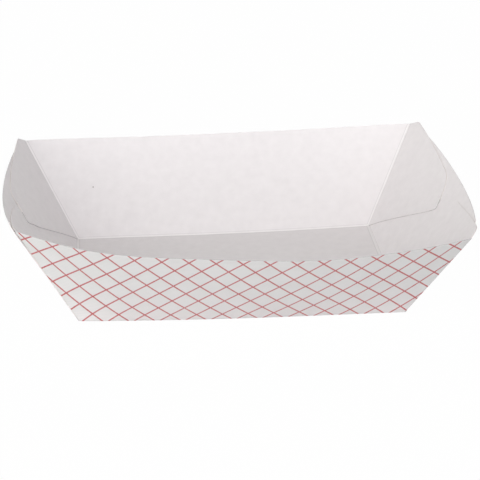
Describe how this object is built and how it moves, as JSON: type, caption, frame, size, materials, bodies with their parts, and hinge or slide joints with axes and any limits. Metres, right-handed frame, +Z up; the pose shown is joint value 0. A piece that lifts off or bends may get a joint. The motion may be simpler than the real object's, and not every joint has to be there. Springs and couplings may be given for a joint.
{
  "type": "paper food tray",
  "caption": "Shallow open paperboard tray folded from one blank, with flared walls, arched ends and glued corner flaps, for serving hot food.",
  "frame": {"origin": "centre of the base panel, on its underside", "axes": "+X along the tray's length, +Y across it towards the back wall, +Z up out of the mouth"},
  "size_m": [0.244, 0.1744, 0.0614],
  "materials": {
    "board": "satin clay-coated white board, printed outside with a thin red diamond lattice"
  },
  "bodies": {
    "root": {"tray": "board"}
  },
  "joints": []
}
